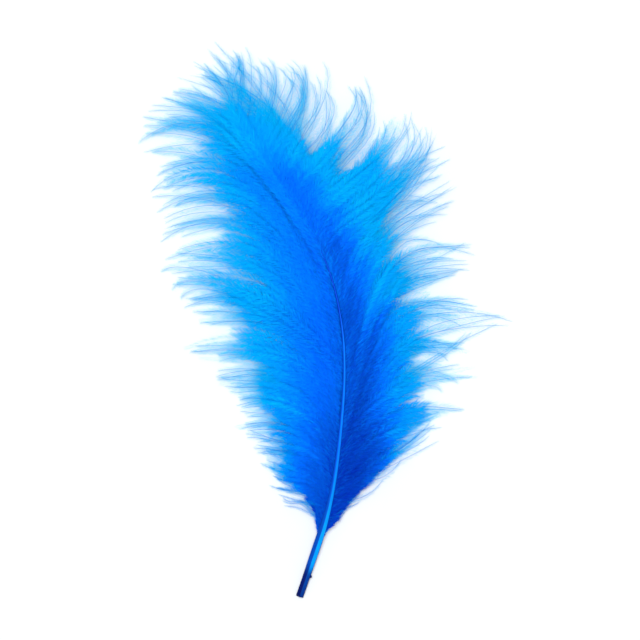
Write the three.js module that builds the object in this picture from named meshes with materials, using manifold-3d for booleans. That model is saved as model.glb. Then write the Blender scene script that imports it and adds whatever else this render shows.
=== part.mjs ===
// A dyed marabou feather, lying on a flat surface with its convex side up.
// It grew as one piece: a hollow quill that thins into the shaft, and soft locks of barbs along both sides.
// Millimetres. +Y runs from the quill to the tip, +Z is up, and the surface that it lies on is Z = 0.
import * as THREE from "three";
import { mergeVertices } from "three/addons/utils/BufferGeometryUtils.js";
import Module from "manifold-3d";

const wasm = await Module();
wasm.setup();

// Driving dimensions of the shaft. Each point of its centre line is x, y and the height above the surface.
const SHAFT_LINE = [
  [-7.7, -69.5, 0.8],
  [-4.6, -60.4, 2.2],
  [-1.0, -49.2, 4.2],
  [1.0, -40.1, 6.0],
  [2.6, -27.9, 8.2],
  [3.6, -12.2, 10.2],
  [2.8, 0.0, 11.4],
  [-0.4, 13.2, 11.8],
  [-6.8, 25.9, 11.2],
  [-15.0, 38.0, 9.8],
  [-22.8, 49.2, 7.6],
];
const QUILL_RADIUS = 0.95;
const SHAFT_TIP_RADIUS = 0.2;
const SHAFT_TAPER = 1.6;
const NECK_SWELL = 0.35; // the quill is widest where the lowest barbs leave it
const NECK_AT = 0.12;
const NECK_SPREAD = 0.07;
const SHAFT_FLATNESS = 0.82; // its height over its width
const BORE_RADIUS = 0.55; // the hollow at the cut end
const BORE_DEPTH = 7;
const NUB_RADIUS = 0.45; // stub of a lost barb on the quill
const NUB_AT = 0.045;
const SHAFT_SIDES = 8;
const SHAFT_STEPS = 28;

// Guide barbs from the neck to the tip of the shaft, one row each: where it leaves the barbed stretch of the
// shaft as a share of that stretch, the x and y of its tip, and the heading of its tip in degrees from +X.
const VANE_START = 0.155; // of the shaft's length
const LEFT_GUIDES = [
  [0.0, -12.7, -42.6, 165],
  [0.02, -17.8, -33.0, 155],
  [0.06, -22.8, -26.1, 182],
  [0.12, -27.9, -15.5, 186],
  [0.19, -35.0, -5.8, 180],
  [0.27, -37.5, 3.6, 190],
  [0.36, -42.6, 11.9, 208],
  [0.46, -43.1, 20.8, 206],
  [0.56, -44.9, 34.0, 212],
  [0.66, -46.4, 45.6, 200],
  [0.76, -45.6, 52.7, 178],
  [0.85, -39.6, 60.4, 158],
  [0.93, -33.0, 67.4, 140],
  [1.0, -26.6, 68.5, 128],
];
const RIGHT_GUIDES = [
  [0.0, 7.0, -45.4, 40],
  [0.015, 15.5, -36.6, 35],
  [0.04, 29.4, -29.4, 22],
  [0.08, 27.1, -23.3, 20],
  [0.13, 34.5, -20.8, -8],
  [0.19, 36.0, -12.2, -2],
  [0.25, 48.8, -0.3, -10],
  [0.33, 36.5, 5.6, -10],
  [0.42, 38.0, 18.5, -8],
  [0.51, 33.0, 30.2, 15],
  [0.6, 29.9, 41.6, 25],
  [0.69, 22.8, 50.7, 65],
  [0.77, 16.5, 54.3, 85],
  [0.85, 5.1, 62.4, 122],
  [0.93, -7.6, 65.4, 118],
  [1.0, -22.1, 70.6, 124],
];
const LAUNCH_ANGLE = 24; // between the shaft and a barb that leaves it
const ROOT_HANDLE = 0.4; // shares of a lock's reach over which it keeps its launch and its tip heading
const TIP_HANDLE = 0.34;

// Driving dimensions of a lock, which is a flat leaf of barbs that cling together. Its half width and half
// thickness are shares of its reach from the shaft to its tip, and its heights are shares of its root's height.
const LOCKS_A_SIDE = 30;
const LOCK_HALF_WIDTH = 0.12;
const LOCK_HALF_THICKNESS = 0.036;
const LOCK_ROOT_SHARE = 0.45; // of those, where the lock leaves the shaft
const LOCK_SWELL = 2.0;
const LOCK_LENGTH_SPREAD = 0.1; // between the longest lock and the shortest, as a share of the guide
const UPPER_LOCK = { sides: 4, leaving: 1.12, arriving: 0.7, tip: 0.3 };
const LOWER_LOCK = { sides: 3, leaving: 0.62, arriving: -0.1, tip: 0 }; // its end lies on the surface
const LOCK_STEPS = 6;
const GOLDEN_SHARE = 0.618; // spreads the locks' lengths evenly

const UP = new THREE.Vector3(0, 0, 1);
const shaft = new THREE.CatmullRomCurve3(SHAFT_LINE.map((p) => new THREE.Vector3(...p)));

// Bends an upright cylinder or cone of height 1 along a curve, scaled at each share of its length.
function bendAlong(geometry, curve, scaleAt) {
  const places = geometry.getAttribute("position");
  const place = new THREE.Vector3();
  for (let i = 0; i < places.count; i++) {
    place.fromBufferAttribute(places, i);
    const share = THREE.MathUtils.clamp(place.y + 0.5, 0, 1);
    const scale = scaleAt(share);
    const along = curve.getTangentAt(share);
    const side = new THREE.Vector3().crossVectors(along, UP).normalize();
    const over = new THREE.Vector3().crossVectors(side, along);
    const bent = curve.getPointAt(share);
    bent.addScaledVector(side, place.x * scale.width).addScaledVector(over, place.z * scale.height);
    places.setXYZ(i, bent.x, bent.y, Math.max(bent.z, 0)); // a lock lies flat where it meets the surface
  }
  return geometry;
}

// A closed geometry as a solid that can be joined and cut.
function solidOf(geometry) {
  geometry.deleteAttribute("normal");
  geometry.deleteAttribute("uv");
  const merged = mergeVertices(geometry);
  const vertProperties = merged.getAttribute("position").array;
  const triVerts = new Uint32Array(merged.index.array);
  return new wasm.Manifold(new wasm.Mesh({ numProp: 3, vertProperties, triVerts }));
}

function geometryOf(solid) {
  const { vertProperties, triVerts } = solid.getMesh();
  const geometry = new THREE.BufferGeometry();
  geometry.setAttribute("position", new THREE.BufferAttribute(vertProperties, 3));
  geometry.setIndex(new THREE.BufferAttribute(triVerts, 1));
  geometry.computeVertexNormals();
  return geometry;
}

function shaftScale(share) {
  const taper = SHAFT_TIP_RADIUS + (QUILL_RADIUS - SHAFT_TIP_RADIUS) * (1 - share) ** SHAFT_TAPER;
  const width = taper + NECK_SWELL * Math.exp(-(((share - NECK_AT) / NECK_SPREAD) ** 2));
  return { width, height: width * SHAFT_FLATNESS };
}

// The quill and shaft in one sweep, hollow at the cut end, with the stub of a lost barb on its right side.
function shaftSolid() {
  const rod = new THREE.CylinderGeometry(1, 1, 1, SHAFT_SIDES, SHAFT_STEPS);
  const hollow = new THREE.CylinderGeometry(BORE_RADIUS, BORE_RADIUS, 2 * BORE_DEPTH, SHAFT_SIDES);
  hollow.scale(1, 1, SHAFT_FLATNESS);
  const turn = new THREE.Quaternion().setFromUnitVectors(new THREE.Vector3(0, 1, 0), shaft.getTangentAt(0));
  hollow.applyQuaternion(turn).translate(...SHAFT_LINE[0]);
  const nub = new THREE.SphereGeometry(NUB_RADIUS, 6, 4);
  const nubSide = new THREE.Vector3().crossVectors(shaft.getTangentAt(NUB_AT), UP).normalize();
  const nubPlace = shaft.getPointAt(NUB_AT).addScaledVector(nubSide, shaftScale(NUB_AT).width);
  nub.translate(...nubPlace);
  return solidOf(bendAlong(rod, shaft, shaftScale)).add(solidOf(nub)).subtract(solidOf(hollow));
}

// A row between two guide rows, at a share of the way from the first row to the last.
function guideAt(guides, share) {
  const place = share * (guides.length - 1);
  const first = Math.min(Math.floor(place), guides.length - 2);
  return guides[first].map((value, i) => THREE.MathUtils.lerp(value, guides[first + 1][i], place - first));
}

function headingVector(degrees) {
  const angle = THREE.MathUtils.degToRad(degrees);
  return new THREE.Vector3(Math.cos(angle), Math.sin(angle), 0);
}

// The line that a lock follows from the shaft to its tip. turn is +1 on the left side and -1 on the right.
function lockLine(guides, turn, share, layer, length) {
  const [at, tipX, tipY, heading] = guideAt(guides, share);
  const rootShare = VANE_START + (1 - VANE_START) * at;
  const root = shaft.getPointAt(rootShare);
  const tip = new THREE.Vector3(tipX, tipY, 0).sub(root).multiplyScalar(length).add(root);
  const reach = Math.hypot(tip.x - root.x, tip.y - root.y);
  const launch = shaft.getTangentAt(rootShare).setZ(0).normalize();
  launch.applyAxisAngle(UP, turn * THREE.MathUtils.degToRad(LAUNCH_ANGLE));
  const leaving = root.clone().addScaledVector(launch, ROOT_HANDLE * reach);
  const arriving = tip.clone().addScaledVector(headingVector(heading), -TIP_HANDLE * reach);
  leaving.z = layer.leaving * root.z;
  arriving.z = layer.arriving * root.z;
  tip.z = layer.tip * root.z;
  return new THREE.CubicBezierCurve3(root, leaving, arriving, tip);
}

function lockSolid(line, sides) {
  const leaf = new THREE.ConeGeometry(1, 1, sides, LOCK_STEPS);
  const reach = line.v0.distanceTo(line.v3);
  const scaleAt = (share) => {
    const swell = reach * (LOCK_ROOT_SHARE + LOCK_SWELL * share);
    return { width: LOCK_HALF_WIDTH * swell, height: LOCK_HALF_THICKNESS * swell };
  };
  return solidOf(bendAlong(leaf, line, scaleAt));
}

// The locks of one side, laid in turn above and below each other.
function sideLocks(guides, turn) {
  return Array.from({ length: LOCKS_A_SIDE }, (_, i) => {
    const layer = i % 2 ? UPPER_LOCK : LOWER_LOCK;
    const length = 1 + LOCK_LENGTH_SPREAD * (0.5 - ((i * GOLDEN_SHARE) % 1));
    return lockSolid(lockLine(guides, turn, i / (LOCKS_A_SIDE - 1), layer, length), layer.sides);
  });
}

const locks = [...sideLocks(LEFT_GUIDES, 1), ...sideLocks(RIGHT_GUIDES, -1)];
const joined = locks.reduce((whole, lock) => whole.add(lock), shaftSolid());
const featherSolid = joined.decompose().find((body) => body.volume() > 0); // without the pockets inside

const feather = new THREE.Group();
const dyedDown = new THREE.MeshStandardMaterial({ color: 0x0a84ff, roughness: 0.85, metalness: 0 });
const featherMesh = new THREE.Mesh(geometryOf(featherSolid), dyedDown);
featherMesh.name = "feather";
feather.add(featherMesh);

export default feather;
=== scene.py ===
import math

import bmesh
import bpy
import numpy as np
from mathutils import Matrix, Vector


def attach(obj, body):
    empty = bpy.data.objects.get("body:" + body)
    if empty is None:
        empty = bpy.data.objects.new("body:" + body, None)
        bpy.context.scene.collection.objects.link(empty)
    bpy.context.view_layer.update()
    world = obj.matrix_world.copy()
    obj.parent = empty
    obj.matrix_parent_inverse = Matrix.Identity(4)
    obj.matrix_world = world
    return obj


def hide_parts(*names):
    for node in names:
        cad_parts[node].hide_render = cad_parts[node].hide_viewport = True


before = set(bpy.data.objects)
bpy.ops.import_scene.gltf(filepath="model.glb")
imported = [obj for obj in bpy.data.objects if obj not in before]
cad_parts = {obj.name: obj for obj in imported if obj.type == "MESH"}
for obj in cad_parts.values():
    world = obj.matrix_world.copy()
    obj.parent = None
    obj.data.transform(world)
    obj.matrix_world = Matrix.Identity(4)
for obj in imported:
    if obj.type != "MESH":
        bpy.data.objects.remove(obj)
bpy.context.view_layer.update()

MM = 0.001
UP = np.array([0.0, 0.0, 1.0])

# The shaft. The x, y and height of its centre line are as in the solid
SHAFT_LINE = [
    (-7.7, -69.5, 0.8), (-4.6, -60.4, 2.2), (-1.0, -49.2, 4.2), (1.0, -40.1, 6.0),
    (2.6, -27.9, 8.2), (3.6, -12.2, 10.2), (2.8, 0.0, 11.4), (-0.4, 13.2, 11.8),
    (-6.8, 25.9, 11.2), (-15.0, 38.0, 9.8), (-22.8, 49.2, 7.6),
]
SPAN_STEPS = 40  # from point to point of that line
QUILL_RADIUS = 0.95
SHAFT_TIP_RADIUS = 0.08
SHAFT_TAPER = 1.75
NECK_SWELL = 0.25  # the quill is widest where the lowest barbs leave it
NECK_AT = 0.12
NECK_SPREAD = 0.07
SHAFT_FLATNESS = 0.82  # its height over its width
SHAFT_SIDES = 28
SHAFT_STEPS = 150
RIM_SHARE = 0.62  # the bore's radius over the quill's
BORE_DEPTH = 7.0
RIDGE_HEIGHT, RIDGE_SPREAD = 0.12, 0.4  # of the radius, and in radians round the shaft
GROOVE_DEPTH, GROOVE_SPREAD = 0.22, 0.35

# The stub of a lost barb, on the right side of the quill
NUB_AT = 0.045  # of the shaft's length
NUB_RADIUS = 0.42
NUB_PLACE = (0.95, 0.1, 0)  # in radii of the quill
# The nub takes the dye and the painted highlight and shade of its place round the quill
NUB_DYE_AND_SHADE_AT = 0.3  # its place round the quill, for the dye

# The barbed stretch of the shaft starts at the neck
VANE_START = 0.147  # of the shaft's length
LOWEST_ROOT = -0.03  # the lowest barbs leave the quill just below that stretch

# Tufts of the fringe, from the neck to the tip of the shaft: the x and y of the tuft's tip, its heading there
# in degrees from +X, and the number of its barbs. Barbs between the tufts follow rows between these rows
LEFT_TUFTS = [
    (-2.6, -50.0, 125, 2), (-4.4, -47.2, 135, 2), (-8.2, -45.6, 152, 3), (-11.5, -44.0, 158, 3),
    (-14.0, -41.6, 165, 5), (-14.6, -39.6, 158, 4), (-13.6, -37.6, 150, 3), (-16.2, -36.5, 168, 4),
    (-18.1, -34.4, 160, 4), (-18.4, -32.4, 165, 4), (-19.6, -30.6, 172, 4), (-21.0, -28.6, 180, 4),
    (-22.7, -26.6, 188, 4), (-22.7, -24.1, 190, 3), (-23.6, -22.3, 198, 3), (-24.2, -20.5, 205, 2),
    (-25.4, -18.0, 192, 3), (-24.7, -15.4, 180, 3), (-29.1, -13.8, 180, 3), (-31.5, -12.6, 186, 3),
    (-29.8, -9.6, 186, 3), (-34.9, -5.8, 178, 3), (-33.0, -1.3, 195, 3), (-37.0, 2.8, 186, 3),
    (-36.3, 4.8, 192, 3), (-39.1, 9.0, 181, 3), (-38.6, 12.2, 186, 4), (-38.0, 15.5, 190, 3),
    (-41.0, 17.4, 202, 3), (-42.7, 19.3, 214, 3), (-42.0, 22.9, 222, 3), (-42.8, 26.2, 216, 3),
    (-43.7, 29.4, 214, 3), (-43.4, 31.0, 210, 3), (-43.8, 32.6, 208, 2), (-44.4, 36.3, 212, 2),
    (-46.0, 38.8, 203, 2), (-46.4, 42.1, 206, 2), (-46.4, 45.2, 200, 2), (-46.2, 48.4, 193, 3),
    (-46.0, 50.2, 187, 3), (-45.8, 52.7, 178, 3), (-43.7, 55.5, 172, 3), (-39.1, 57.6, 167, 3),
    (-40.8, 59.2, 160, 3), (-37.3, 62.1, 158, 4), (-35.0, 64.2, 150, 4), (-33.7, 66.7, 144, 3),
    (-31.7, 67.5, 138, 4), (-30.6, 68.5, 133, 3), (-25.6, 68.2, 126, 3),
]
RIGHT_TUFTS = [
    (1.2, -50.4, 55, 2), (4.2, -47.7, 45, 2), (6.6, -44.9, 42, 2), (12.2, -38.3, 35, 3),
    (17.8, -33.2, 40, 4), (25.1, -27.5, 42, 6), (27.0, -24.1, 15, 4), (26.4, -23.1, 22, 4),
    (34.4, -21.0, -12, 2), (33.0, -16.4, -30, 2), (35.4, -12.9, -5, 3), (30.3, -11.7, -20, 2),
    (30.6, -7.4, -15, 3), (34.0, -4.0, -10, 3), (45.4, -0.4, -7, 4), (36.0, 2.5, -8, 4),
    (36.5, 4.8, -10, 4), (30.9, 12.2, 0, 4), (34.0, 13.9, -10, 4), (32.7, 15.0, 0, 3),
    (32.6, 16.9, 3, 3), (38.0, 18.5, -12, 3), (29.2, 21.0, -15, 2), (25.9, 29.2, -2, 4),
    (29.0, 26.0, 10, 3), (32.8, 30.1, 18, 4), (31.0, 35.0, 25, 3), (30.9, 40.6, 10, 4),
    (27.9, 41.6, 38, 4), (27.3, 43.9, 35, 4), (26.5, 46.0, 60, 3), (26.0, 48.8, 65, 4),
    (23.5, 47.5, 85, 3), (21.0, 51.0, 100, 4), (18.9, 54.1, 82, 1), (17.0, 52.0, 88, 1),
    (15.0, 49.0, 75, 3), (12.0, 50.0, 105, 3), (9.5, 54.5, 112, 3), (7.3, 60.6, 116, 6),
    (5.1, 60.6, 120, 3), (2.0, 54.0, 125, 3), (-2.5, 58.5, 128, 3), (-5.0, 63.5, 130, 4),
    (-7.3, 65.0, 134, 4), (-9.6, 65.7, 137, 4), (-12.4, 65.5, 141, 4), (-16.5, 65.7, 144, 3),
    (-18.8, 66.4, 138, 3), (-23.0, 69.9, 130, 4),
]

# Where the tufts leave the shaft, at shares of the way through their rows, as shares of the barbed stretch
LEFT_ROOTS = [
    (0, 0), (0.06, 0), (0.16, 0.02), (0.24, 0.055), (0.4, 0.14), (0.54, 0.195), (0.7, 0.235), (0.82, 0.28),
    (0.9, 0.335), (1, 0.45),
]
RIGHT_ROOTS = [
    (0, 0), (0.04, 0), (0.1, 0.045), (0.18, 0.1), (0.29, 0.14), (0.37, 0.23), (0.43, 0.28), (0.49, 0.365),
    (0.57, 0.48), (0.67, 0.625), (0.8, 0.74), (0.9, 0.85), (1, 0.975),
]

# Barbs that close the tip of the vane on each side. These rows, and the strays', start with the root's share
LEFT_CROWN = [
    (0.5, -41.5, 52.5, 172, 3), (0.6, -39.0, 57.0, 165, 3), (0.7, -35.5, 62.0, 155, 3),
    (0.82, -31.0, 65.5, 142, 3), (0.92, -27.5, 66.5, 130, 3), (1.0, -24.0, 67.0, 122, 3),
]
RIGHT_CROWN = [
    (0.8, -11.4, 62.6, 140, 2), (0.9, -17.2, 65.9, 140, 2), (1.0, -23.8, 69.0, 126, 2),
]

# Stray barbs that lie across the others
LEFT_STRAYS = [(0.33, -41.8, 9.8, 226, 2), (0.34, -39.8, 8.6, 232, 1), (0.34, -38.6, 5.5, 246, 1)]
RIGHT_STRAYS = [
    (0.03, 30.1, -29.7, 24, 1), (0.12, 30.1, -19.3, -80, 1), (0.2, 37.8, -1.2, 52, 2),
    (0.21, 44.1, 0.6, 40, 1),
]

# Seeds of what differs from barb to barb, and of the core's edge
LEFT_SEEDS = (4, 7)
RIGHT_SEEDS = (13, 8)

# How barbs leave the shaft and reach their tips, at shares of the barbed stretch: the angle from the shaft in
# degrees, the shares of a barb's reach over which it keeps its launch and its tip's heading, and the size of
# its waves
LEFT_SWEEP = {"share": (0, 0.2, 0.5, 1), "launch": (12, 8, 6, 8), "root": (0.5, 0.8, 0.62, 0.45),
              "tip": (0.45, 0.25, 0.22, 0.25), "wave": (0.4, 0.6, 0.6, 0.6)}
RIGHT_SWEEP = {"share": (0, 0.15, 0.3, 0.45, 0.6, 0.75, 0.9, 1),
               "launch": (22, 8, 6, 6, 8, 8, 8, 12),
               "root": (0.35, 0.62, 0.6, 0.45, 0.32, 0.3, 0.3, 0.3),
               "tip": (0.5, 0.44, 0.42, 0.4, 0.42, 0.42, 0.42, 0.5),
               "wave": (0.4, 0.6, 0.8, 1.1, 1.2, 1.1, 0.9, 0.6)}
TUFT_ROOT_SPREAD = 0.06  # of the barbed stretch
TUFT_TIP_SPREAD = 1.5
TUFT_ENDS = (0.93, 1.03)  # where a barb ends along its line
END_LIMITS = (0.1, 1.05)
FILLERS_A_ROW = 5  # barbs between the tufts that end near the core's edge and have no stem past it
FILLER_PLACE_SPREAD = 0.4  # of the step from row to row
# How far fillers go past the core's edge, as a share of their line: the least, and the most at shares of the
# barbed stretch
LEAST_OVERRUN = -0.15
LEFT_OVERRUN = {"share": (0, 0.13, 0.2, 0.31, 0.37, 1), "most": (0.45, 0.36, 0.08, 0.06, 0.2, 0.25)}
RIGHT_OVERRUN = {"share": (0, 0.16, 0.24, 0.5, 0.6, 0.8, 1),
                 "most": (0.45, 0.36, 0.18, 0.3, 0.42, 0.42, 0.3)}
CORE_EDGE_SPREAD = 0.06  # from barb to barb
TUFT_EDGE_SPREAD = 0.05  # from tuft to tuft
HEADING_SPREAD = 9  # degrees, as the next one
LAUNCH_SPREAD = 5
HANDLE_SPREAD = (0.75, 1.35)  # of the handle at the tip
STRAY_ROOT_STRETCH = 0.4  # strays keep their launch for less of their reach
STRAY_TIP_STRETCH = 0.9

# The outline of the dense core, from the neck up the left side and down the right side. Barbs have loose webs
# and bare ends outside it
CORE_EDGE = [
    (-1.8, -50.2), (-4.6, -44.8), (-8.0, -41.5), (-8.4, -37.0), (-9.6, -29.2), (-14.8, -19.0),
    (-18.0, -11.0), (-24.0, -4.0), (-23.5, 3.0), (-23.8, 9.0), (-25.4, 15.0), (-27.0, 26.5),
    (-30.5, 38.0), (-29.5, 46.0), (-28.5, 49.5), (-22.0, 50.5), (-16.5, 47.5), (-9.5, 44.8),
    (-3.0, 42.0), (2.5, 39.0), (10.5, 36.5), (11.8, 28.0), (10.5, 20.0), (15.8, 14.0), (15.0, 8.0),
    (16.8, 2.0), (22.5, -1.5), (17.5, -7.6), (15.5, -12.5), (20.5, -20.3), (18.5, -28.0), (15.8, -32.5),
    (10.0, -38.3), (4.8, -44.1), (0.3, -50.2),
]
CORE_SAMPLES = 101  # places along a barb that are looked up in the outline
CORE_END_OUTSIDE = 0.2  # where the core of a barb ends that is all outside the outline

# Heights of a barb's leaving handle, arriving handle and tip, as shares of its root's height, in the lowest
# layer and in the highest
LOWEST_HEIGHTS = np.array([0.97, 0.42, 0.01])
HIGHEST_HEIGHTS = np.array([1.08, 0.76, 0.32])
LEAST_HEIGHT = 0.04  # above the floor

# A barb and the barbules along it
BARB_RADIUS = 0.03  # of its stem at the shaft
FRINGE_RADIUS = 0.07  # of its stem where the core ends
BARB_TIP_RADIUS = 0.04
BARB_STEPS = 9
STEM_ANGLES = (90, 210, 330)  # of a stem's three edges
LEAST_FRINGE = 0.04  # of a barb's line outside the core, for it to have a stem there
STEM_OVERLAP = 0.02
WAVE_TURNS = (0.8, 2.0)
WAVE_START_SPREAD = 0.06  # of a turn, within a tuft
WAVE_SIZE_SPREAD = (0.6, 1.2)
WAVE_GROWTH = 1.5  # the power of the share along a barb that its waves grow with
BARBULES_A_BARB = 500
FRINGE_DENSITY = 12  # barbules to a millimetre of a barb outside the core
MOST_CROWDING = 2  # times as many of them on short barbs
MOST_FRINGE_SHARE = 0.45  # of a barb's barbules
EDGE_CROWDING = 0.7  # a power below 1 that makes barbules denser toward the core's edge
LAST_BARBULE = 0.97  # of the fringe, from the core to the barb's end
CORE_FADE = (-0.12, 0.06)  # where barbules turn thin, as shares of the line before and after the core's edge
CORE_LENGTH = 3.0  # of a barbule
FRINGE_LENGTH = 2.7
LENGTH_SPREAD = (0.6, 1.15)
FULL_REACH = 25  # shorter barbs have shorter barbules
LEAST_REACH = 0.2  # of a full reach, for the spread of a tuft's tips
LEAST_LENGTH = 0.25  # of a barbule's length, on the shortest barbs
ROOT_LENGTH = 0.7  # of a barbule's length, beside the shaft
ROOT_LENGTH_END = 0.15  # the share of the barb's line where that ends
END_SHORTENING = 0.8  # of a barbule's length, lost at the barb's end
CORE_WIDTH = 0.17
FRINGE_WIDTH = 0.034
END_WIDTH = 0.024
WIDTH_SPREAD = (0.7, 1.2)
BARBULE_ANGLE = 46  # degrees from the barb, at the barbule's root
ANGLE_SPREAD = 9
BARBULE_BEND = 18  # toward the barb, in its middle
BARBULE_ROLL = 20  # up or down about the barb
BARBULE_TURN = 25  # of the blade about its own length
ROOT_ROLL = 50  # by which the barbules beside the shaft hang down
ROLL_REACH = (0.05, 0.3)  # shares of the barb's line over which it ends
ROLL_FADE = (0.45, 0.75)  # shares of the barbed stretch over which it goes, as the shaft thins
LEAST_DIVISOR = 0.01  # for barbs that have no fringe

# The map that the dye is laid on: its first axis runs up the feather, and its second goes from side to side
# across the shaft, once in each of three bands: for the core, the fringe's barbules and the fringe's stems
MAP_LOW = -75.0
MAP_LENGTH = 150.0
MAP_WIDTH = 104.0
CORE_BAND, FRINGE_BAND, STEM_BAND = 0, 1, 2
BANDS = 3
UP_MARGIN = 0.01  # kept free at both ends of the map
ACROSS_MARGIN = 0.02  # kept free at both edges of a band
BARB_SHIFT = 1.8  # how far a barb's dye may differ from its neighbours', as a shift across the map

# The camera's frame: the point it looks at and the width it takes in, on the floor
VIEW_CENTRE = (-2.54, 0.51)
VIEW_WIDTH = 162.3
CAMERA_HEIGHT = 900

# Light and floor, in metres and watts
KEY_PLACE = (-0.06, 0.08, 1.25)
KEY_POWER = 15.8
KEY_SIZE = 0.5
SURROUND_STRENGTH = 0.45
FLOOR_HALF_SIZE = 1.5


# Curves

def smooth_line(points, steps):
    """A centripetal Catmull-Rom curve through the points, as many steps to each span."""
    points = np.asarray(points, float)
    padded = np.vstack([2 * points[0] - points[1], points, 2 * points[-1] - points[-2]])
    share = np.linspace(0, 1, steps, endpoint=False)[:, None]
    spans = []
    for before, start, end, after in zip(padded, padded[1:], padded[2:], padded[3:]):
        first = math.sqrt(np.linalg.norm(start - before))
        middle = math.sqrt(np.linalg.norm(end - start))
        last = math.sqrt(np.linalg.norm(after - end))
        leaving = end - start + middle * ((start - before) / first - (end - before) / (first + middle))
        arriving = end - start + middle * ((after - end) / last - (after - start) / (middle + last))
        square = 3 * (end - start) - 2 * leaving - arriving
        cube = 2 * (start - end) + leaving + arriving
        spans.append(start + share * (leaving + share * (square + share * cube)))
    return np.vstack(spans + [points[-1:]])


SHAFT = smooth_line(SHAFT_LINE, SPAN_STEPS)
SHAFT_RUN = np.append(0, np.cumsum(np.linalg.norm(np.diff(SHAFT, axis=0), axis=1)))
SHAFT_SHARE = SHAFT_RUN / SHAFT_RUN[-1]


def unit(vectors):
    return vectors / np.linalg.norm(vectors, axis=-1, keepdims=True)


def shaft_place(share):
    return np.stack([np.interp(share, SHAFT_SHARE, SHAFT[:, axis]) for axis in range(3)], axis=-1)


def shaft_along(share):
    step = 0.004
    return unit(shaft_place(np.minimum(share + step, 1)) - shaft_place(np.maximum(share - step, 0)))


def shaft_radius(share):
    taper = SHAFT_TIP_RADIUS + (QUILL_RADIUS - SHAFT_TIP_RADIUS) * (1 - share) ** SHAFT_TAPER
    return taper + NECK_SWELL * np.exp(-(((share - NECK_AT) / NECK_SPREAD) ** 2))


def headings(degrees):
    angle = np.radians(degrees)
    return np.stack([np.cos(angle), np.sin(angle)], axis=-1)


def ease(low, high, values):
    share = np.clip((values - low) / (high - low), 0, 1)
    return share * share * (3 - 2 * share)


# Barbs

def barb_controls(rows, turn, sweep, layer, root_stretch, tip_stretch, draw):
    """The four control points of the barb in each row. turn is +1 on the left side and -1 on the right."""
    share = np.clip(rows[:, 0], LOWEST_ROOT, 1)
    launch, root_handle, tip_handle = (
        np.interp(share, sweep["share"], sweep[key]) for key in ("launch", "root", "tip")
    )
    run = VANE_START + (1 - VANE_START) * share
    root = shaft_place(run)
    tip = rows[:, 1:3]
    reach = np.linalg.norm(tip - root[:, :2], axis=1)
    forward = shaft_along(run)
    forward_heading = np.degrees(np.arctan2(forward[:, 1], forward[:, 0]))
    launch = launch + LAUNCH_SPREAD * draw.uniform(-1, 1, len(rows))
    root_handle = root_handle * reach * root_stretch
    leaving = root[:, :2] + root_handle[:, None] * headings(forward_heading + turn * launch)
    tip_handle = tip_handle * reach * tip_stretch
    arriving = tip - tip_handle[:, None] * headings(rows[:, 3])
    heights = (LOWEST_HEIGHTS + layer[:, None] * (HIGHEST_HEIGHTS - LOWEST_HEIGHTS)) * root[:, 2:]
    plan = np.stack([root[:, :2], leaving, arriving, tip], axis=1)
    return np.dstack([plan, np.column_stack([root[:, 2], heights])])


def reaches(rows):
    """How far each row's barb reaches from the shaft, as a share of a full reach, within limits."""
    root = shaft_place(VANE_START + (1 - VANE_START) * rows[:, 0].clip(LOWEST_ROOT, 1))
    return (np.linalg.norm(rows[:, 1:3] - root[:, :2], axis=1) / FULL_REACH).clip(LEAST_REACH, 1)


def with_roots(tufts, roots):
    """The tufts' rows with one more column before the others: where each tuft leaves the shaft."""
    through, share = zip(*roots)
    return np.column_stack([np.interp(np.linspace(0, 1, len(tufts)), through, share), tufts])


def with_waves(tufts, draw, edge_draw):
    """The tufts' rows with three more columns: where a tuft's wave starts, the number of its turns, and how
    far its core goes past the core's outline."""
    starts = draw.random(len(tufts))
    turns = draw.uniform(*WAVE_TURNS, len(tufts))
    return np.column_stack([tufts, starts, turns, edge_draw.normal(0, TUFT_EDGE_SPREAD, len(tufts))])


def tuft_rows(tufts, draw):
    """One row to each barb of the tufts, spread at its root and a little at its tip."""
    rows = np.repeat(tufts, tufts[:, 4].astype(int), axis=0)
    count = len(rows)
    rows[:, 0] += TUFT_ROOT_SPREAD * draw.uniform(-0.5, 0.5, count)
    spread = TUFT_TIP_SPREAD * reaches(rows)[:, None]
    rows[:, 1:3] += headings(rows[:, 3] + 90) * spread * draw.normal(0, 1, count)[:, None]
    rows[:, 3] += draw.normal(0, HEADING_SPREAD, count)
    return rows


def filler_rows(tufts, draw):
    """Rows about evenly between the tufts' rows."""
    count = FILLERS_A_ROW * len(tufts)
    place = np.linspace(0, len(tufts) - 1, count)
    place = place + draw.uniform(-FILLER_PLACE_SPREAD, FILLER_PLACE_SPREAD, count)
    rows = np.stack([np.interp(place, range(len(tufts)), column) for column in tufts.T], axis=1)
    rows[:, 0] += TUFT_ROOT_SPREAD * draw.uniform(-0.5, 0.5, count)
    rows[:, 3] += draw.normal(0, HEADING_SPREAD, count)
    return rows


def inside_core(places):
    """Whether places lie inside the core's outline, by the number of its edges to their right."""
    x, y = places[..., 0], places[..., 1]
    inside = np.zeros(x.shape, bool)
    for (x0, y0), (x1, y1) in zip(CORE_EDGE, CORE_EDGE[1:] + CORE_EDGE[:1]):
        spans = (y0 > y) != (y1 > y)
        inside ^= spans & ((x - x0) * abs(y1 - y0) < (y - y0) * (x1 - x0) * math.copysign(1, y1 - y0))
    return inside


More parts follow.
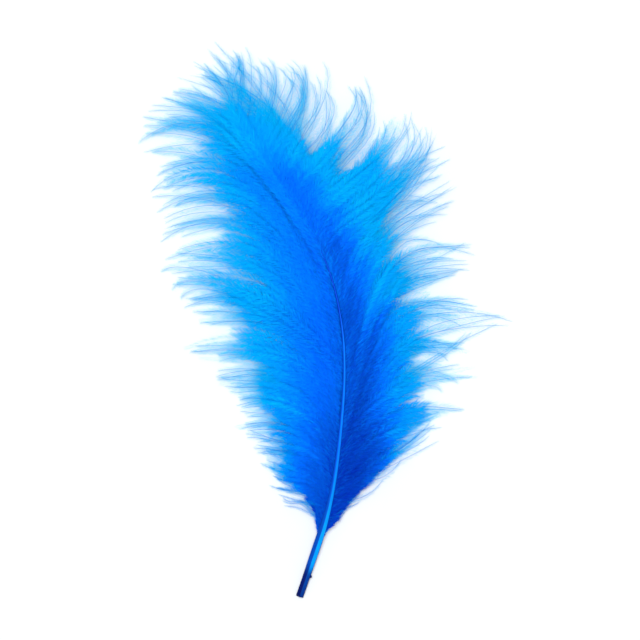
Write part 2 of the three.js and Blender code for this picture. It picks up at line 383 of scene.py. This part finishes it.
def side_barbs(groups, strays, turn, sweep, draw, edge_draw):
    """Every barb of one side, sorted from the neck to the tip."""
    stray_count = sum(stray[4] for stray in strays)
    groups = [with_waves(group, draw, edge_draw) for group in groups]
    strays = with_waves(strays, draw, edge_draw)
    tufts = np.concatenate([tuft_rows(group, draw) for group in [strays] + groups])
    fillers = np.concatenate([filler_rows(group, draw) for group in groups])
    rows = np.concatenate([tufts, fillers])
    order = np.argsort(rows[:, 0], kind="stable")
    count = len(rows)
    is_filler = np.arange(count) >= len(tufts)
    root_stretch = np.ones(count)
    root_stretch[:stray_count] = STRAY_ROOT_STRETCH
    tip_stretch = draw.uniform(*HANDLE_SPREAD, count)
    tip_stretch[:stray_count] = STRAY_TIP_STRETCH
    wave_size = np.interp(rows[:, 0], sweep["share"], sweep["wave"])
    barbs = {
        "controls": barb_controls(rows, turn, sweep, draw.random(count), root_stretch, tip_stretch, draw),
        "wave_size": wave_size * draw.uniform(*WAVE_SIZE_SPREAD, count),
        "wave_start": rows[:, 5] + draw.normal(0, WAVE_START_SPREAD, count),
        "wave_turns": rows[:, 6],
        "shift": draw.normal(0, BARB_SHIFT, count),
        "root_roll": ROOT_ROLL * (1 - ease(*ROLL_FADE, rows[:, 0])),
    }
    share = np.linspace(0, 1, CORE_SAMPLES)
    inside = inside_core(along_barbs(barbs, np.tile(share, (count, 1)))[0])
    last_inside = share[CORE_SAMPLES - 1 - np.argmax(inside[:, ::-1], axis=1)]
    core_end = np.where(inside.any(axis=1), last_inside, CORE_END_OUTSIDE) + rows[:, 7]
    overrun = LEFT_OVERRUN if turn > 0 else RIGHT_OVERRUN
    most_overrun = np.interp(rows[:, 0], overrun["share"], overrun["most"])
    filler_end = core_end + draw.uniform(LEAST_OVERRUN, most_overrun)
    barbs["end"] = np.where(is_filler, filler_end, draw.uniform(*TUFT_ENDS, count)).clip(*END_LIMITS)
    barbs["core_end"] = np.minimum(core_end + draw.normal(0, CORE_EDGE_SPREAD, count), barbs["end"])
    barbs["has_stem"] = ~is_filler
    return {key: values[order] for key, values in barbs.items()}


def along_barbs(barbs, share):
    """Places and directions at shares of each barb's line; share has one row to a barb."""
    start, leaving, arriving, tip = (barbs["controls"][:, None, i] for i in range(4))
    v = share[..., None]
    w = 1 - v
    place = w**3 * start + 3 * v * w**2 * leaving + 3 * v**2 * w * arriving + v**3 * tip
    along = w**2 * (leaving - start) + 2 * v * w * (arriving - leaving) + v**2 * (tip - arriving)
    side = unit(np.cross(along, UP))
    turns = barbs["wave_turns"][:, None]
    phase = 2 * math.pi * (share * turns + barbs["wave_start"][:, None])
    size = barbs["wave_size"][:, None] * share**WAVE_GROWTH
    place = place + side * (size * np.sin(phase))[..., None]
    along = unit(3 * along + side * (2 * math.pi * turns * size * np.cos(phase))[..., None])
    side = unit(np.cross(along, UP))
    over = np.cross(side, along)
    place[..., 2] = np.maximum(place[..., 2], LEAST_HEIGHT)
    return place, along, side, over


def map_places(barbs, place, band):
    """Where places of the barbs fall on the dye's map, in one of its bands."""
    shaft_x = np.interp(place[..., 1], SHAFT[:, 1], SHAFT[:, 0])
    across = 0.5 + (place[..., 0] - shaft_x + barbs["shift"][:, None]) / MAP_WIDTH
    up = (place[..., 1] - MAP_LOW) / MAP_LENGTH
    up = up.clip(UP_MARGIN, 1 - UP_MARGIN)
    across = across.clip(ACROSS_MARGIN, 1 - ACROSS_MARGIN)
    return np.stack([up, (band + across) / BANDS], axis=-1)


def stem_mesh(barbs, start, end, radius, band):
    """A stretch of each barb's stem as a thin tube with three sides that ends in a point."""
    count = len(end)
    share = start[:, None] + np.linspace(0, 1, BARB_STEPS) * (end - start)[:, None]
    place, _, side, over = along_barbs(barbs, share)
    radius = (radius + (BARB_TIP_RADIUS - radius) * np.linspace(0, 1, BARB_STEPS))[None, :, None]
    corners = [radius * (math.cos(a) * side + math.sin(a) * over) for a in np.radians(STEM_ANGLES)]
    rings = place[:, :, None] + np.stack(corners, axis=2)
    rings[:, -1] = place[:, -1:]
    rings[..., 2] = np.maximum(rings[..., 2], LEAST_HEIGHT / 2)
    points = rings.reshape(-1, 3)
    step, corner = np.meshgrid(np.arange(BARB_STEPS - 1), np.arange(3), indexing="ij")
    first = (3 * step + corner).ravel()
    second = (3 * step + (corner + 1) % 3).ravel()
    lower = np.stack([first, second, second + 3], axis=1)
    upper = np.stack([first, second + 3, first + 3], axis=1)
    faces = np.concatenate([lower, upper, [[2, 1, 0]]])
    faces = (faces[None] + 3 * BARB_STEPS * np.arange(count)[:, None, None]).reshape(-1, 3)
    places = np.repeat(map_places(barbs, place, band).reshape(-1, 2), 3, axis=0)
    return points, faces, places


def fringe_stems(barbs):
    """The stems of the barbs that go on past the core."""
    goes_on = barbs["has_stem"] & (barbs["end"] - barbs["core_end"] > LEAST_FRINGE)
    some = {key: values[goes_on] for key, values in barbs.items()}
    return stem_mesh(some, some["core_end"] - STEM_OVERLAP, some["end"], FRINGE_RADIUS, STEM_BAND)


def barb_reach(barbs):
    """How far each barb reaches from the shaft."""
    return np.linalg.norm(barbs["controls"][:, 3] - barbs["controls"][:, 0], axis=1)[:, None]


def barbule_shares(barbs, draw):
    """Where the barbules leave each barb: denser toward the core's edge, and some outside it."""
    core_end = barbs["core_end"][:, None]
    fringe = barbs["end"][:, None] - core_end
    crowding = (FULL_REACH / barb_reach(barbs)).clip(1, MOST_CROWDING)
    fringe_share = crowding * FRINGE_DENSITY * fringe * barb_reach(barbs) / BARBULES_A_BARB
    fringe_share = fringe_share.clip(0, MOST_FRINGE_SHARE)
    place = (np.arange(BARBULES_A_BARB) + draw.random((len(core_end), BARBULES_A_BARB))) / BARBULES_A_BARB
    in_core = core_end * (place / (1 - fringe_share)).clip(0, 1) ** EDGE_CROWDING
    past_core = fringe * ((place - 1 + fringe_share) / fringe_share.clip(LEAST_DIVISOR)).clip(0, 1)
    return in_core + LAST_BARBULE * past_core, past_core / fringe.clip(LEAST_DIVISOR)


def barbule_mesh(barbs, turn, draw):
    """The barbules on both sides of each barb, each a thin blade of two faces, bent in its middle."""
    count = len(barbs["end"])
    shape = (count, BARBULES_A_BARB)
    v, fringe = barbule_shares(barbs, draw)
    place, along, side, over = along_barbs(barbs, v)
    hand = np.broadcast_to(np.where(np.arange(BARBULES_A_BARB) % 2 == 0, 1.0, -1.0), shape)
    past_core = ease(*CORE_FADE, v - barbs["core_end"][:, None])
    length = CORE_LENGTH + (FRINGE_LENGTH - CORE_LENGTH) * past_core
    length = length * draw.uniform(*LENGTH_SPREAD, shape)
    length = length * (barb_reach(barbs) / FULL_REACH).clip(LEAST_LENGTH, 1)
    root_length = ROOT_LENGTH + (1 - ROOT_LENGTH) * ease(0, ROOT_LENGTH_END, v)
    length = length * root_length * (1 - END_SHORTENING * fringe**2)
    roll = np.radians(draw.normal(0, BARBULE_ROLL, shape))
    root_roll = np.radians(barbs["root_roll"])[:, None] * (1 - ease(*ROLL_REACH, v))
    roll = roll - np.where(hand == turn, root_roll, 0)
    angle = np.radians(draw.normal(BARBULE_ANGLE, ANGLE_SPREAD, shape))
    outward = side * (hand * np.cos(roll))[..., None] + over * np.sin(roll)[..., None]

    def heading(turned):
        return along * np.cos(turned)[..., None] + outward * np.sin(turned)[..., None]

    middle = place + heading(angle) * (0.5 * length)[..., None]
    tip = middle + heading(angle - math.radians(BARBULE_BEND)) * (0.5 * length)[..., None]
    width = CORE_WIDTH + (FRINGE_WIDTH - CORE_WIDTH) * past_core + (END_WIDTH - FRINGE_WIDTH) * fringe
    width = width * draw.uniform(*WIDTH_SPREAD, shape)
    face_turn = np.radians(draw.normal(0, BARBULE_TURN, shape))
    flat = unit(np.cross(heading(angle), over))
    blade = flat * np.cos(face_turn)[..., None] + over * np.sin(face_turn)[..., None]
    half = blade * (0.5 * width)[..., None]
    corners = np.stack([place, middle - half, tip, middle + half], axis=2)
    corners[..., 2] = np.maximum(corners[..., 2], LEAST_HEIGHT / 2)
    first = 4 * np.arange(count * BARBULES_A_BARB)[:, None]
    faces = np.concatenate([first + [0, 1, 3], first + [3, 1, 2]], axis=1).reshape(-1, 3)
    band = np.where(fringe > 0, FRINGE_BAND, CORE_BAND)
    places = np.repeat(map_places(barbs, middle, band).reshape(-1, 2), 4, axis=0)
    return corners.reshape(-1, 3), faces, places


def mesh_piece(name, parts, material):
    """One object from several sets of points, faces and map places."""
    offsets = np.cumsum([0] + [len(points) for points, _, _ in parts])
    points = np.concatenate([points for points, _, _ in parts]) * MM
    faces = np.concatenate([faces + offset for (_, faces, _), offset in zip(parts, offsets)])
    places = np.concatenate([places for _, _, places in parts])
    mesh = bpy.data.meshes.new(name)
    mesh.vertices.add(len(points))
    mesh.vertices.foreach_set("co", points.astype(np.float32).ravel())
    mesh.loops.add(faces.size)
    mesh.loops.foreach_set("vertex_index", faces.astype(np.int32).ravel())
    mesh.polygons.add(len(faces))
    mesh.polygons.foreach_set("loop_start", np.arange(0, faces.size, 3, dtype=np.int32))
    mesh.polygons.foreach_set("use_smooth", np.ones(len(faces), dtype=bool))
    uv_map = mesh.uv_layers.new(name="OFBake")
    uv_map.data.foreach_set("uv", places[faces.ravel()].astype(np.float32).ravel())
    mesh.update(calc_edges=True)
    mesh.materials.append(material)
    piece = bpy.data.objects.new(name, mesh)
    bpy.context.scene.collection.objects.link(piece)
    return piece


def finish_piece(piece):
    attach(piece, "root")
    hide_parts("feather")


# Materials

def color(red, green, blue):
    """A colour as the eye names it, from 0 to 255, made linear for a shader."""
    def linear(value):
        value = value / 255
        return value / 12.92 if value <= 0.04045 else ((value + 0.055) / 1.055) ** 2.4
    return (linear(red), linear(green), linear(blue), 1.0)


class Shader:
    """A new material and short ways to add its nodes."""

    def __init__(self, name):
        self.material = bpy.data.materials.new(name)
        self.material.use_nodes = True
        self.nodes = self.material.node_tree.nodes
        self.links = self.material.node_tree.links
        self.nodes.clear()

    def node(self, kind, inputs=None, **settings):
        node = self.nodes.new(kind)
        for key, value in settings.items():
            setattr(node, key, value)
        for key, value in (inputs or {}).items():
            if isinstance(value, bpy.types.NodeSocket):
                self.links.new(value, node.inputs[key])
            else:
                node.inputs[key].default_value = value
        return node

    def ramp(self, factor, stops, interpolation="EASE"):
        node = self.node("ShaderNodeValToRGB", {"Fac": factor})
        ramp = node.color_ramp
        ramp.interpolation = interpolation
        while len(ramp.elements) < len(stops):
            ramp.elements.new(0.5)
        for element, (place, tint) in zip(ramp.elements, stops):
            element.position = place
            element.color = tint
        return node.outputs["Color"]

    def math(self, operation, first, second):
        return self.node("ShaderNodeMath", {0: first, 1: second}, operation=operation).outputs[0]

    def spread(self, value, limits):
        """A value taken from one range to another, each from 0 to 1 where limits don't say otherwise."""
        return self.node("ShaderNodeMapRange", {"Value": value, **limits}).outputs["Result"]

    def noise(self, place, scale):
        """Fine noise, scaled by a different amount along each axis."""
        scaled = self.node("ShaderNodeMapping", {"Vector": place, "Scale": scale}).outputs["Vector"]
        return self.node("ShaderNodeTexNoise", {"Vector": scaled, "Scale": 1.0, "Detail": 3.0}).outputs["Fac"]

    def mix(self, blend, factor, first, second):
        node = self.node("ShaderNodeMix", data_type="RGBA", blend_type=blend)
        for socket, value in zip(("Factor", "A", "B"), (factor, first, second)):
            inputs = [i for i in node.inputs if i.name == socket and i.enabled]
            if isinstance(value, bpy.types.NodeSocket):
                self.links.new(value, inputs[0])
            else:
                inputs[0].default_value = value
        return [o for o in node.outputs if o.enabled][0]

    def output(self, surface):
        self.node("ShaderNodeOutputMaterial", {"Surface": surface})
        return self.material


def tone_stops(stops, start, width):
    """Ramp stops from pairs of a place in millimetres and a tone."""
    return [((place - start) / width, (tone, tone, tone, 1.0)) for place, tone in stops]


# The dye's tone, 0 deep and 1 light: across the shaft from left to right, and what is added to it going up.
# Across, the tone dips deeper just right of the shaft than left of it: that dip is painted shade on the right
# flank
ACROSS_TONE_AND_SHADE = tone_stops(
    [(-30, 0.74), (-22, 0.64), (-18, 0.54), (-14, 0.4), (-10, 0.26), (-5, 0.17), (-1, 0.14), (1, 0.02),
     (2, 0.0), (6, 0.08), (10, 0.27), (14, 0.52), (18, 0.56)],
    -MAP_WIDTH / 2, MAP_WIDTH,
)
UP_TONE = tone_stops(
    [(-52, 0.0), (-27, 0.02), (-15, 0.05), (0, 0.06), (9, 0.11), (18, 0.11), (26, 0.18), (36, 0.22),
     (41, 0.38), (45, 0.52), (57, 0.6)],
    MAP_LOW, MAP_LENGTH,
)
# The base is deeper on both sides, and painted shade deepens it most on the right flank: the two are
# multiplied and taken from the tone
BASE_DEPTH_AND_SHADE_ACROSS = tone_stops(
    [(-14, 0.0), (-6, 0.3), (0, 0.35), (3, 0.1), (6, 0.4), (10, 1.0), (14, 0.7), (18, 0.3)],
    -MAP_WIDTH / 2, MAP_WIDTH,
)
BASE_DEPTH_AND_SHADE_UP = tone_stops([(-52, 0.2), (-31, 0.16), (-22, 0.04), (-13, 0.0)], MAP_LOW, MAP_LENGTH)
FRINGE_TONE = tone_stops(
    [(-50, 0.68), (-35, 0.75), (-15, 0.84), (40, 0.82), (57, 0.85)], MAP_LOW, MAP_LENGTH,
)
MOTTLE_TONE = 0.06
CORE_LIGHTEST = 0.7
FRINGE_EVENNESS = 0.8  # how far the fringe's own tone takes the place of the core's
STEM_TONE = 0.2  # taken from the tone in the fringe's stems
LIGHT_THROUGH = 0.45  # the share of the light that goes through a barbule
DYE = [
    (0.0, color(0, 62, 208)), (0.25, color(0, 140, 255)), (0.5, color(0, 180, 255)),
    (0.75, color(0, 208, 255)), (1.0, color(0, 232, 255)),
]


def down_material():
    """Dyed down: deep beside the shaft and at the base, lighter toward the edges and the top, with painted
    shade on the right of the shaft.
    """
    shader = Shader("dyed_down")
    uv = shader.node("ShaderNodeUVMap", uv_map="OFBake").outputs["UV"]
    split = shader.node("ShaderNodeSeparateXYZ", {"Vector": uv})
    up, band = split.outputs["X"], split.outputs["Y"]
    band = shader.math("MULTIPLY", band, BANDS)
    across = shader.math("FRACT", band, 0.0)
    is_fringe = shader.math("GREATER_THAN", band, FRINGE_BAND)
    is_stem = shader.math("GREATER_THAN", band, STEM_BAND)
    # Painted shade: the tone's dip just right of the shaft, and the depth taken off on the right flank at the
    # base
    tone = shader.math("ADD", shader.ramp(across, ACROSS_TONE_AND_SHADE), shader.ramp(up, UP_TONE))
    depth_and_shade = shader.math("MULTIPLY", shader.ramp(across, BASE_DEPTH_AND_SHADE_ACROSS), shader.ramp(up, BASE_DEPTH_AND_SHADE_UP))
    tone = shader.math("SUBTRACT", tone, depth_and_shade)
    mottle = shader.noise(uv, (40, 55, 1))
    tone = shader.math("ADD", tone, shader.math("MULTIPLY", mottle, MOTTLE_TONE))
    tone = shader.math("MINIMUM", tone, CORE_LIGHTEST)
    toward_fringe = shader.math("MULTIPLY", is_fringe, FRINGE_EVENNESS)
    fringe_tone = shader.ramp(up, FRINGE_TONE)
    tones = {"Factor": toward_fringe, "A": tone, "B": fringe_tone}
    tone = shader.node("ShaderNodeMix", tones).outputs["Result"]
    tone = shader.math("SUBTRACT", tone, shader.math("MULTIPLY", is_stem, STEM_TONE))
    dye_and_painted_shading = shader.ramp(tone, DYE, "LINEAR")
    roughness = shader.spread(mottle, {"To Min": 0.6, "To Max": 0.8})
    face = shader.node(
        "ShaderNodeBsdfPrincipled", {"Base Color": dye_and_painted_shading, "Roughness": roughness, "Specular IOR Level": 0.04},
    )
    through = shader.node("ShaderNodeBsdfTranslucent", {"Color": dye_and_painted_shading})
    faces = {"Fac": LIGHT_THROUGH, 1: face.outputs[0], 2: through.outputs[0]}
    return shader.output(shader.node("ShaderNodeMixShader", faces).outputs[0])


# NAVY is painted shade on the quill's sides and underside, and FLANK a lighter painted shade on its upper
# left side
NAVY = color(12, 60, 152)
FLANK = color(0, 72, 175)
SHAFT_END = color(0, 158, 255)
# Painted highlights along the top of the quill and of the shaft
QUILL_HIGHLIGHT = color(0, 158, 255)
SHAFT_HIGHLIGHT = color(0, 125, 250)
# The dye round the quill and the shaft, from below by the right side, the top and the left side, with a
# painted highlight along the top and painted shade on the sides and below
QUILL_SHADING_ROUND = [
    (0.0, NAVY), (0.29, NAVY), (0.36, QUILL_HIGHLIGHT), (0.48, QUILL_HIGHLIGHT), (0.52, FLANK), (0.66, FLANK), (0.72, NAVY),
    (1.0, NAVY),
]
SHAFT_SHADING_ROUND = [
    (0.0, color(0, 60, 190)), (0.35, color(0, 70, 200)), (0.43, SHAFT_HIGHLIGHT), (0.5, SHAFT_HIGHLIGHT),
    (0.57, color(0, 85, 215)), (0.68, color(0, 70, 200)), (1.0, color(0, 60, 190)),
]
GRAIN_SHADE = [(0.3, color(205, 220, 240)), (0.5, color(240, 245, 250)), (0.7, color(255, 255, 255))]
# What shades the dye, from the cut end to the shaft's tip
LENGTH_SHADE = [
    (0.0, color(95, 88, 135)), (0.045, color(120, 112, 155)), (0.075, color(255, 255, 255)),
    (0.5, color(255, 255, 255)), (0.6, color(150, 175, 225)), (0.7, color(150, 175, 225)),
    (0.82, color(255, 255, 255)),
]


def quill_material():
    """Dyed keratin: painted shade on the sides, a painted highlight along the ridge, a darker cut end, and a
    shaft that dims at its bend.
    """
    shader = Shader("dyed_quill")
    uv = shader.node("ShaderNodeUVMap", uv_map="OFBake").outputs["UV"]
    split = shader.node("ShaderNodeSeparateXYZ", {"Vector": uv})
    around, along = split.outputs["X"], split.outputs["Y"]
    past_neck = shader.spread(along, {"From Min": 0.14, "From Max": 0.3})
    # Painted highlight along the top and painted shade on the sides, round the quill and the shaft
    dye_and_painted_shading = shader.mix("MIX", past_neck, shader.ramp(around, QUILL_SHADING_ROUND), shader.ramp(around, SHAFT_SHADING_ROUND))
    past_bend = shader.spread(along, {"From Min": 0.68, "From Max": 0.82})
    dye_and_painted_shading = shader.mix("MIX", past_bend, dye_and_painted_shading, SHAFT_END)
    dye_and_painted_shading = shader.mix("MULTIPLY", 1.0, dye_and_painted_shading, shader.ramp(along, LENGTH_SHADE))
    grain = shader.noise(uv, (26, 60, 1))
    dye_and_painted_shading = shader.mix("MULTIPLY", 1.0, dye_and_painted_shading, shader.ramp(grain, GRAIN_SHADE))
    roughness = shader.spread(grain, {"To Min": 0.4, "To Max": 0.55})
    bump = shader.node("ShaderNodeBump", {"Height": grain, "Strength": 0.15, "Distance": 0.0001})
    face = shader.node(
        "ShaderNodeBsdfPrincipled",
        {"Base Color": dye_and_painted_shading, "Roughness": roughness, "Normal": bump.outputs["Normal"],
         "Specular IOR Level": 0.05},
    )
    return shader.output(face.outputs[0])


def floor_material():
    """Plain pale board with a faint mottle."""
    shader = Shader("pale_floor")
    place = shader.node("ShaderNodeTexCoord").outputs["Object"]
    mottle = shader.node("ShaderNodeTexNoise", {"Vector": place, "Scale": 40.0, "Detail": 3.0})
    tint = shader.ramp(mottle.outputs["Fac"], [(0.3, color(221, 225, 230)), (0.7, color(225, 229, 233))])
    face = shader.node(
        "ShaderNodeBsdfPrincipled", {"Base Color": tint, "Roughness": 0.9, "Specular IOR Level": 0.1},
    )
    return shader.output(face.outputs[0])


# Quill and shaft

def shaft_matrix(share):
    """Takes a ring of radius 1 in the XY plane to the shaft's section at a share of its length."""
    along = Vector(shaft_along(share))
    side = along.cross(Vector(UP)).normalized()
    over = side.cross(along)
    radius = float(shaft_radius(share))
    turned = Matrix((side * radius, over * radius * SHAFT_FLATNESS, along)).transposed()
    return Matrix.Translation(Vector(shaft_place(share))) @ turned.to_4x4()


def extruded_ring(quill, ring, matrix):
    """The points of a new ring, drawn out from a ring of points and moved by the matrix."""
    grown = bmesh.ops.extrude_edge_only(quill, edges=loop_edges(ring))["geom"]
    points = [element for element in grown if isinstance(element, bmesh.types.BMVert)]
    bmesh.ops.transform(quill, matrix=matrix, verts=points)
    return points


def loop_edges(points):
    ring = set(points)
    return [edge for edge in {e for p in points for e in p.link_edges} if set(edge.verts) <= ring]


def quill_and_shaft():
    """A ring drawn out along the shaft: a bore and rim at the cut end, a ridge on top and a groove below."""
    quill = bmesh.new()
    around = quill.verts.layers.float.new("around")
    length = quill.verts.layers.float.new("along")
    ring = bmesh.ops.create_circle(quill, segments=SHAFT_SIDES, radius=1.0)["verts"]
    for point in ring:
        angle = math.atan2(point.co.y, point.co.x)
        point[around] = ((angle / (2 * math.pi)) + 0.25) % 1.0
        ridge = RIDGE_HEIGHT * math.exp(-((angle - math.pi / 2) / RIDGE_SPREAD) ** 2)
        groove = GROOVE_DEPTH * math.exp(-((angle + math.pi / 2) / GROOVE_SPREAD) ** 2)
        point.co *= 1 + ridge - groove
    first_ring = ring
    matrix = shaft_matrix(0.0)
    bmesh.ops.transform(quill, matrix=matrix, verts=ring)
    for step in range(1, SHAFT_STEPS + 1):
        share = step / SHAFT_STEPS
        next_matrix = shaft_matrix(share)
        ring = extruded_ring(quill, ring, next_matrix @ matrix.inverted())
        for point in ring:
            point[length] = share
        matrix = next_matrix
    bmesh.ops.contextual_create(quill, geom=loop_edges(ring))

    matrix = shaft_matrix(0.0)
    inner = matrix @ Matrix.Diagonal((RIM_SHARE, RIM_SHARE, 1, 1)) @ matrix.inverted()
    ring = extruded_ring(quill, first_ring, inner)
    ring = extruded_ring(quill, ring, Matrix.Translation(shaft_along(0.0) * BORE_DEPTH))
    bmesh.ops.contextual_create(quill, geom=loop_edges(ring))

    nub = bmesh.ops.create_icosphere(quill, subdivisions=2, radius=NUB_RADIUS)["verts"]
    bmesh.ops.translate(quill, verts=nub, vec=shaft_matrix(NUB_AT) @ Vector(NUB_PLACE))
    for point in nub:
        point[around] = NUB_DYE_AND_SHADE_AT
        point[length] = NUB_AT
    bmesh.ops.recalc_face_normals(quill, faces=quill.faces)

    uv_map = quill.loops.layers.uv.new("OFBake")
    for face in quill.faces:
        face.smooth = True
        places = [loop.vert[around] for loop in face.loops]
        wraps = max(places) - min(places) > 0.5
        for loop, place in zip(face.loops, places):
            loop[uv_map].uv = (place + 1 if wraps and place < 0.5 else place, loop.vert[length])
    bmesh.ops.scale(quill, vec=(MM, MM, MM), verts=quill.verts)
    mesh = bpy.data.meshes.new("quill_and_shaft")
    quill.to_mesh(mesh)
    quill.free()
    mesh.materials.append(quill_material())
    piece = bpy.data.objects.new("quill_and_shaft", mesh)
    bpy.context.scene.collection.objects.link(piece)
    return piece


# Putting the feather together

def vane(side_name, groups, strays, turn, sweep, seeds, material):
    """The barbs of one side as three pieces, from the neck to the tip."""
    draw, edge_draw = (np.random.default_rng(seed) for seed in seeds)
    barbs = side_barbs(groups, strays, turn, sweep, draw, edge_draw)
    stretches = ("base", "middle", "tip")
    for stretch, picked in zip(stretches, np.array_split(np.arange(len(barbs["end"])), len(stretches))):
        some = {key: values[picked] for key, values in barbs.items()}
        core_stems = stem_mesh(some, np.zeros(len(picked)), some["core_end"], BARB_RADIUS, CORE_BAND)
        parts = [core_stems, fringe_stems(some), barbule_mesh(some, turn, draw)]
        finish_piece(mesh_piece(f"{side_name}_vane_{stretch}", parts, material))


dyed_down = down_material()
finish_piece(quill_and_shaft())
left_groups = [with_roots(LEFT_TUFTS, LEFT_ROOTS), LEFT_CROWN]
right_groups = [with_roots(RIGHT_TUFTS, RIGHT_ROOTS), RIGHT_CROWN]
vane("left", left_groups, LEFT_STRAYS, 1, LEFT_SWEEP, LEFT_SEEDS, dyed_down)
vane("right", right_groups, RIGHT_STRAYS, -1, RIGHT_SWEEP, RIGHT_SEEDS, dyed_down)


# Floor, light and camera

def add_floor():
    sheet = bmesh.new()
    bmesh.ops.create_grid(sheet, x_segments=1, y_segments=1, size=FLOOR_HALF_SIZE)
    mesh = bpy.data.meshes.new("floor")
    sheet.to_mesh(mesh)
    sheet.free()
    mesh.materials.append(floor_material())
    floor = bpy.data.objects.new("floor", mesh)
    bpy.context.scene.collection.objects.link(floor)


def add_area_light(name, place, power, size):
    lamp = bpy.data.lights.new(name, "AREA")
    lamp.energy = power
    lamp.size = size
    light = bpy.data.objects.new(name, lamp)
    light.location = place
    light.rotation_euler = (-Vector(place)).to_track_quat("-Z", "Y").to_euler()
    bpy.context.scene.collection.objects.link(light)


def add_camera():
    lens = bpy.data.cameras.new("camera")
    lens.angle = 2 * math.atan(VIEW_WIDTH / 2 / CAMERA_HEIGHT)
    camera = bpy.data.objects.new("camera", lens)
    camera.location = Vector((*VIEW_CENTRE, CAMERA_HEIGHT)) * MM
    bpy.context.scene.collection.objects.link(camera)
    bpy.context.scene.camera = camera


add_floor()
add_area_light("key_light", KEY_PLACE, KEY_POWER, KEY_SIZE)
world = bpy.data.worlds.new("soft_surround")
world.use_nodes = True
surround = world.node_tree.nodes["Background"]
surround.inputs["Color"].default_value = (1.0, 1.0, 1.0, 1.0)
surround.inputs["Strength"].default_value = SURROUND_STRENGTH
bpy.context.scene.world = world
bpy.context.scene.view_settings.view_transform = "Standard"
add_camera()
